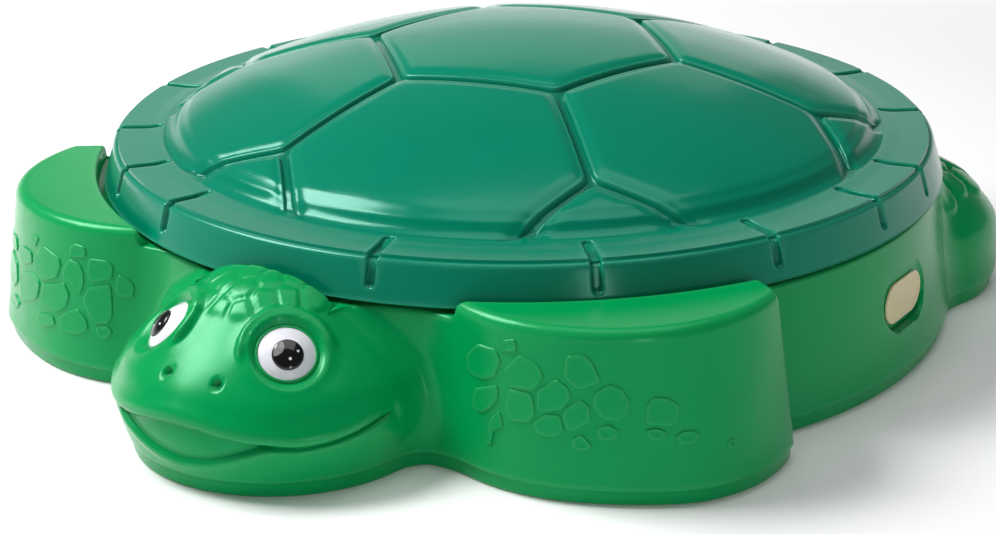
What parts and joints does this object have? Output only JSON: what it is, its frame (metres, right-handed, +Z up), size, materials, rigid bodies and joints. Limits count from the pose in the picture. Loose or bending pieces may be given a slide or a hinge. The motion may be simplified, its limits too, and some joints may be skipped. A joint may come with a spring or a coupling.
{
  "type": "sandbox with cover",
  "caption": "Turtle-shaped children's sand tray with a round tub, two flipper seats and a lift-off domed shell cover.",
  "frame": {"origin": "on the ground, under the centre of the round cover", "axes": "+Z up; the turtle looks along -Y; +X is the turtle's left side"},
  "size_m": [0.952, 1.1058, 0.307],
  "materials": {
    "tray_green": "satin rotomoulded plastic",
    "shell_green": "glossy moulded plastic",
    "eye_white": "gloss",
    "pupil_black": "high gloss",
    "badge_cream": "gloss"
  },
  "bodies": {
    "tray": {"base": "tray_green", "eye_left": "eye_white", "eye_right": "eye_white", "pupil_left": "pupil_black", "pupil_right": "pupil_black", "side_badge": "badge_cream"},
    "lid": {"cover": "shell_green"}
  },
  "joints": [
    {"name": "cover_lift", "type": "slide", "parent": "tray", "child": "lid", "axis": [0, 0, 1], "range_m": [0, 0.35]}
  ]
}
